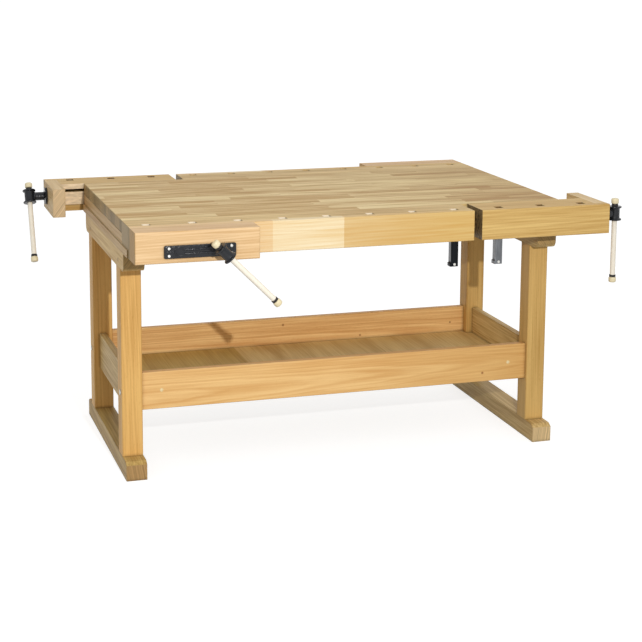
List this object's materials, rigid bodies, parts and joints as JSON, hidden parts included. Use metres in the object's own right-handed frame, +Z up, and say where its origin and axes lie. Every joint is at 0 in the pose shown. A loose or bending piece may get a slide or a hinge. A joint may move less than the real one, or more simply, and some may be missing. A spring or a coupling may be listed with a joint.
{
  "type": "woodworking bench",
  "caption": "Two-sided woodworking bench with a laminated top, face and tail vises, sliding bench dogs, sled-foot trestles and a tray between them.",
  "frame": {"origin": "on the floor, under the middle of the bench", "axes": "+X along the bench to the right as seen from the front side, +Y from the front side to the rear side, +Z up"},
  "size_m": [1.934, 1.3626, 0.8636],
  "materials": {
    "beech_top": "oiled beech, laminated staves",
    "beech_frame": "oiled beech",
    "plywood": "plywood, oiled",
    "black_cast_iron": "black stove enamel on castings",
    "bright_steel": "bright drawn steel, lightly oiled",
    "blued_steel": "blued steel",
    "handle_wood": "pale turned hardwood",
    "handle_ends": "cream moulded knob with a dark rubber buffer ring"
  },
  "bodies": {
    "bench": {"face_vise_brackets": "black_cast_iron", "front_apron_face": "beech_top", "front_dog_strip": "beech_top", "front_tray_rail": "beech_frame", "front_vise_rail": "beech_frame", "left_bearer": "beech_frame", "left_end_board": "beech_frame", "left_foot": "beech_frame", "left_front_leg": "beech_frame", "left_rear_leg": "beech_frame", "left_side_rail": "beech_frame", "rear_apron_face": "beech_top", "rear_dog_strip": "beech_top", "rear_tray_rail": "beech_frame", "rear_vise_rail": "beech_frame", "right_bearer": "beech_frame", "right_end_board": "beech_frame", "right_foot": "beech_frame", "right_front_leg": "beech_frame", "right_rear_leg": "beech_frame", "right_side_rail": "beech_frame", "tail_vise_lower_guides": "bright_steel", "tail_vise_nut_plates": "bright_steel", "top_slab": "beech_top", "tray_bottom": "plywood"},
    "front_face_jaw": {"front_face_vise_jaw": "beech_top", "front_face_vise_plate": "black_cast_iron", "front_face_vise_guide_bar": "bright_steel"},
    "front_tail_jaw": {"front_tail_vise_bar": "beech_top", "front_tail_vise_end_block": "beech_top", "front_tail_vise_flange": "black_cast_iron"},
    "front_face_screw": {"front_face_vise_screw": "black_cast_iron"},
    "front_face_handle": {"front_face_vise_handle": "handle_wood", "front_face_vise_handle_ends": "handle_ends"},
    "front_tail_screw": {"front_tail_vise_screw": "black_cast_iron"},
    "front_tail_handle": {"front_tail_vise_handle": "handle_wood", "front_tail_vise_handle_ends": "handle_ends"},
    "front_apron_dog": {"front_apron_dog": "blued_steel"},
    "front_tail_dog": {"front_tail_dog": "blued_steel"},
    "rear_face_jaw": {"rear_face_vise_jaw": "beech_top", "rear_face_vise_plate": "black_cast_iron", "rear_face_vise_guide_bar": "bright_steel"},
    "rear_tail_jaw": {"rear_tail_vise_bar": "beech_top", "rear_tail_vise_end_block": "beech_top", "rear_tail_vise_flange": "black_cast_iron"},
    "rear_face_screw": {"rear_face_vise_screw": "black_cast_iron"},
    "rear_face_handle": {"rear_face_vise_handle": "handle_wood", "rear_face_vise_handle_ends": "handle_ends"},
    "rear_tail_screw": {"rear_tail_vise_screw": "black_cast_iron"},
    "rear_tail_handle": {"rear_tail_vise_handle": "handle_wood", "rear_tail_vise_handle_ends": "handle_ends"},
    "rear_apron_dog": {"rear_apron_dog": "blued_steel"},
    "rear_tail_dog": {"rear_tail_dog": "blued_steel"}
  },
  "joints": [
    {"name": "front_face_vise_slide", "type": "slide", "parent": "bench", "child": "front_face_jaw", "axis": [0, -1, 0], "range_m": [0, 0.15005]},
    {"name": "front_face_vise_screw", "type": "hinge", "parent": "front_face_jaw", "child": "front_face_screw", "pos_m": [-0.488, -0.5963, 0.796], "axis": [0, -1, 0], "range_deg": [0, 9000]},
    {"name": "front_face_vise_handle_slide", "type": "slide", "parent": "front_face_screw", "child": "front_face_handle", "axis": [-0.7071, 0, 0.7071], "range_m": [0, 0.1914]},
    {"name": "front_tail_vise_slide", "type": "slide", "parent": "bench", "child": "front_tail_jaw", "axis": [1, 0, 0], "range_m": [-0.02775, 0.13005]},
    {"name": "front_tail_vise_screw", "type": "hinge", "parent": "front_tail_jaw", "child": "front_tail_screw", "pos_m": [0.882, -0.428, 0.812], "axis": [1, 0, 0], "range_deg": [-1662, 7800]},
    {"name": "front_tail_vise_handle_slide", "type": "slide", "parent": "front_tail_screw", "child": "front_tail_handle", "axis": [0, 0, 1], "range_m": [0, 0.1914]},
    {"name": "front_apron_dog_slide", "type": "slide", "parent": "bench", "child": "front_apron_dog", "axis": [0, 0, 1], "range_m": [0, 0.075]},
    {"name": "front_tail_dog_slide", "type": "slide", "parent": "front_tail_jaw", "child": "front_tail_dog", "axis": [0, 0, 1], "range_m": [0, 0.075]},
    {"name": "rear_face_vise_slide", "type": "slide", "parent": "bench", "child": "rear_face_jaw", "axis": [0, 1, 0], "range_m": [0, 0.15005]},
    {"name": "rear_face_vise_screw", "type": "hinge", "parent": "rear_face_jaw", "child": "rear_face_screw", "pos_m": [0.488, 0.5963, 0.796], "axis": [0, 1, 0], "range_deg": [0, 9000]},
    {"name": "rear_face_vise_handle_slide", "type": "slide", "parent": "rear_face_screw", "child": "rear_face_handle", "axis": [0.7071, 0, 0.7071], "range_m": [0, 0.1914]},
    {"name": "rear_tail_vise_slide", "type": "slide", "parent": "bench", "child": "rear_tail_jaw", "axis": [-1, 0, 0], "range_m": [-0.02775, 0.13005]},
    {"name": "rear_tail_vise_screw", "type": "hinge", "parent": "rear_tail_jaw", "child": "rear_tail_screw", "pos_m": [-0.882, 0.428, 0.812], "axis": [-1, 0, 0], "range_deg": [-1662, 7800]},
    {"name": "rear_tail_vise_handle_slide", "type": "slide", "parent": "rear_tail_screw", "child": "rear_tail_handle", "axis": [0, 0.454, 0.891], "range_m": [0, 0.1914]},
    {"name": "rear_apron_dog_slide", "type": "slide", "parent": "bench", "child": "rear_apron_dog", "axis": [0, 0, 1], "range_m": [0, 0.075]},
    {"name": "rear_tail_dog_slide", "type": "slide", "parent": "rear_tail_jaw", "child": "rear_tail_dog", "axis": [0, 0, 1], "range_m": [0, 0.075]}
  ],
  "couplings": [
    {"joint": "front_face_vise_slide", "follows": "front_face_vise_screw", "m_per_rad": 0.00095493},
    {"joint": "front_tail_vise_slide", "follows": "front_tail_vise_screw", "m_per_rad": 0.00095493},
    {"joint": "rear_face_vise_slide", "follows": "rear_face_vise_screw", "m_per_rad": 0.00095493},
    {"joint": "rear_tail_vise_slide", "follows": "rear_tail_vise_screw", "m_per_rad": 0.00095493}
  ]
}
